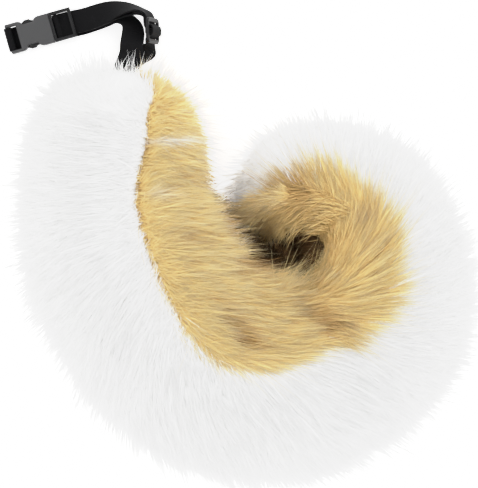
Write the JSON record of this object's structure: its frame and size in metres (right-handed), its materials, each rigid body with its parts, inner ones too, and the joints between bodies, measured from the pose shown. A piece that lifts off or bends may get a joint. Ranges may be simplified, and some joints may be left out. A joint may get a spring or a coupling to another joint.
{
  "type": "costume animal tail",
  "caption": "Long-pile costume tail, white outside and tan inside, curled once round and lying flat, with a short black webbing belt loop that has a side-release buckle and a slider.",
  "frame": {"origin": "middle of the object's box, on the surface that it lies on", "axes": "+Z up, away from the surface; +X to the right and +Y upwards in the picture, with the strap at the upper left"},
  "size_m": [0.5038, 0.5176, 0.1586],
  "materials": {
    "white_fur": "long white pile",
    "tan_fur": "long golden tan pile",
    "webbing": "plain black woven webbing",
    "buckle_plastic": "black moulded plastic with a satin sheen"
  },
  "bodies": {
    "root": {"tail_white_fur": "white_fur", "tail_tan_fur": "tan_fur", "strap_socket_side": "webbing", "strap_slider_side": "webbing", "strap_slider": "buckle_plastic", "buckle_socket": "buckle_plastic", "buckle_plug": "buckle_plastic"}
  },
  "joints": []
}
